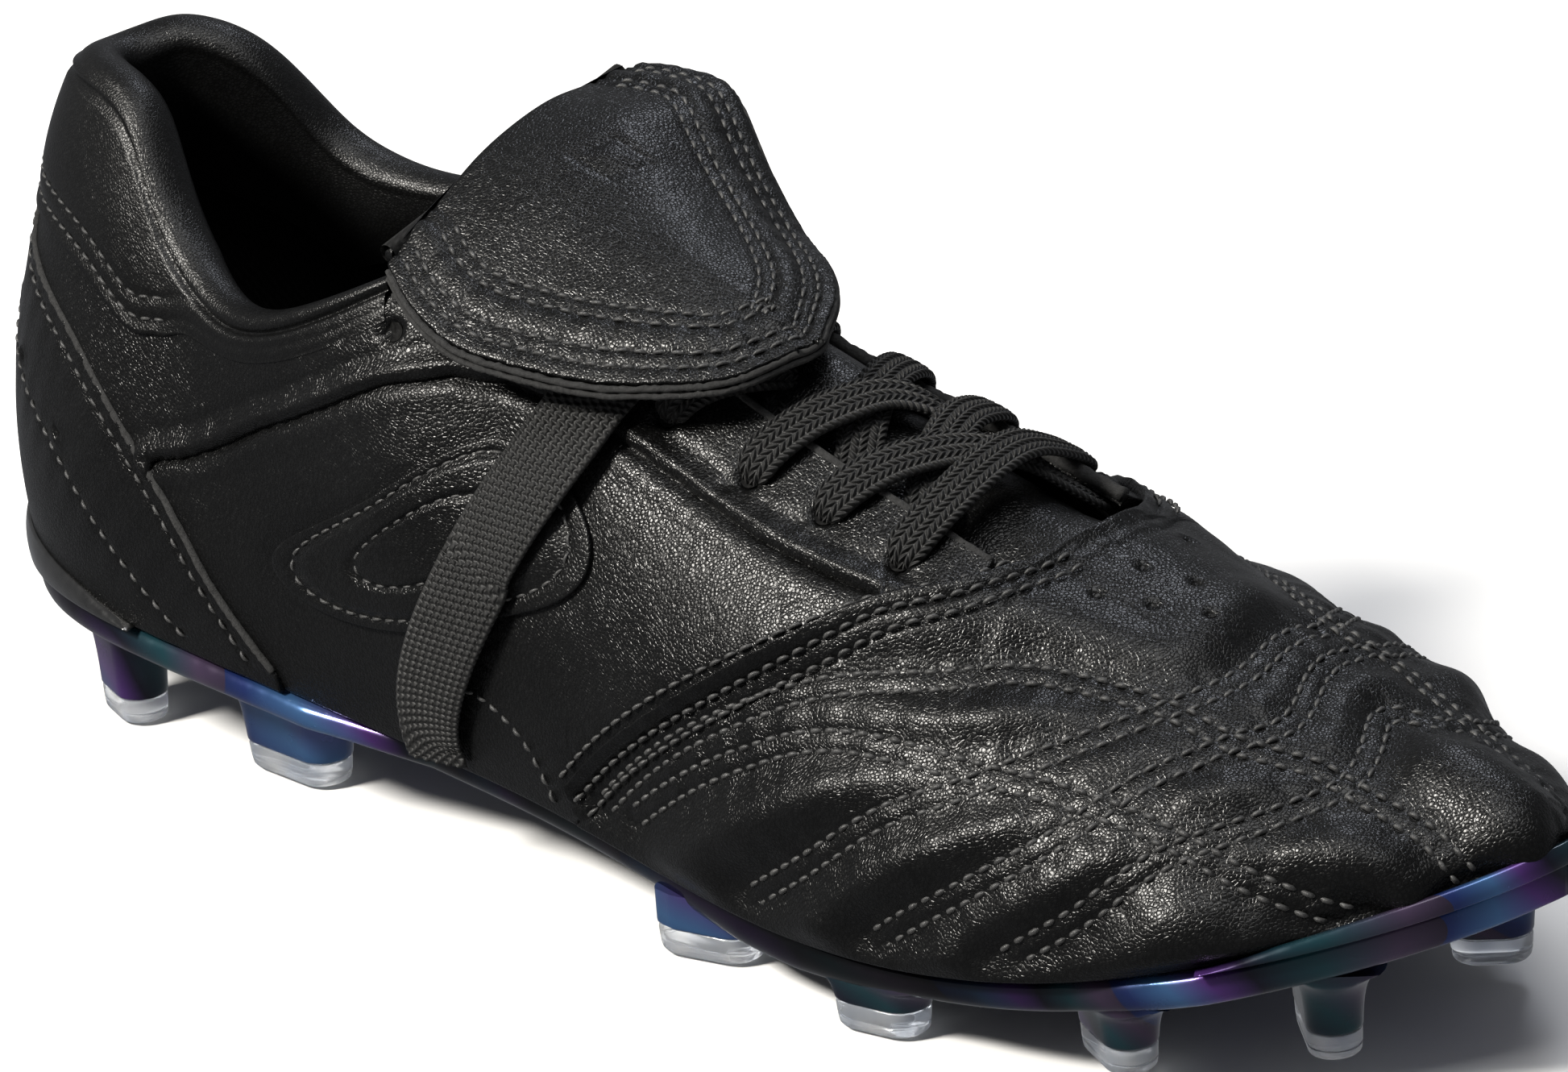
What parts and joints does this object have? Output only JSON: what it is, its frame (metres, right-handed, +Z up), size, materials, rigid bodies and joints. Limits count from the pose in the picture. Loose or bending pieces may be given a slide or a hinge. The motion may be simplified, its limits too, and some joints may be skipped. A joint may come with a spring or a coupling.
{
  "type": "soccer cleat",
  "caption": "Right-foot leather soccer cleat: quilted vamp, fold-over tongue flap on a hinge, flat laces, elastic strap, and a moulded plate with blade studs and clear tips.",
  "frame": {"origin": "Middle of the shoe's box in plan, on the ground plane that the studs stand on.", "axes": "+X runs from the heel to the toe, +Y to the inner (medial) side of the foot, +Z up."},
  "size_m": [0.2904, 0.0896, 0.1042],
  "materials": {
    "black_leather": "soft grained leather, slight sheen",
    "black_lining": "matt textile",
    "grey_foam": "open-cell foam, hidden",
    "white_stiffener": "thermoplastic sheet, hidden",
    "dark_iridescent_plastic": "gloss, blue and violet colour shift",
    "gloss_black_plastic": "high gloss",
    "black_webbing": "flat braid and elastic webbing",
    "clear_plastic": "clear moulded stud tip",
    "fibre_board": "fibre board, hidden"
  },
  "bodies": {
    "shoe": {"heel_backstay": "black_leather", "quarter_lateral": "black_leather", "quarter_medial": "black_leather", "eyestay_lateral": "black_leather", "eyestay_medial": "black_leather", "vamp": "black_leather", "collar_lateral": "black_leather", "collar_medial": "black_leather", "tongue": "black_leather", "lace_keeper": "black_leather", "side_overlay_lateral": "black_leather", "side_overlay_medial": "black_leather", "heel_lining": "black_lining", "quarter_lining_lateral": "black_lining", "quarter_lining_medial": "black_lining", "vamp_lining": "black_lining", "tongue_lining": "black_lining", "sockliner": "black_lining", "collar_foam": "grey_foam", "vamp_foam": "grey_foam", "heel_counter": "white_stiffener", "toe_puff": "white_stiffener", "outsole_plate": "dark_iridescent_plastic", "toe_rim": "dark_iridescent_plastic", "heel_cup": "gloss_black_plastic", "lace_span_1": "black_webbing", "lace_span_2": "black_webbing", "lace_span_3": "black_webbing", "lace_span_4": "black_webbing", "lace_span_5": "black_webbing", "strap_lateral": "black_webbing", "strap_medial": "black_webbing", "stud_tip_heel_rear_lateral": "clear_plastic", "stud_tip_heel_front_lateral": "clear_plastic", "stud_tip_heel_rear_medial": "clear_plastic", "stud_tip_heel_front_medial": "clear_plastic", "stud_tip_arch_lateral": "clear_plastic", "stud_tip_arch_medial": "clear_plastic", "stud_tip_forefoot_rear_lateral": "clear_plastic", "stud_tip_forefoot_rear_medial": "clear_plastic", "stud_tip_forefoot_mid_lateral": "clear_plastic", "stud_tip_forefoot_mid_medial": "clear_plastic", "stud_tip_toe_lateral": "clear_plastic", "stud_tip_toe_medial": "clear_plastic", "insole_board": "fibre_board"},
    "flap": {"tongue_flap": "black_leather", "flap_lining": "black_lining"}
  },
  "joints": [
    {"name": "tongue_flap_fold", "type": "hinge", "parent": "shoe", "child": "flap", "pos_m": [-0.04367, 0.00313, 0.0975], "axis": [0, -0.9741, -0.2261], "range_deg": [0, 125]}
  ]
}
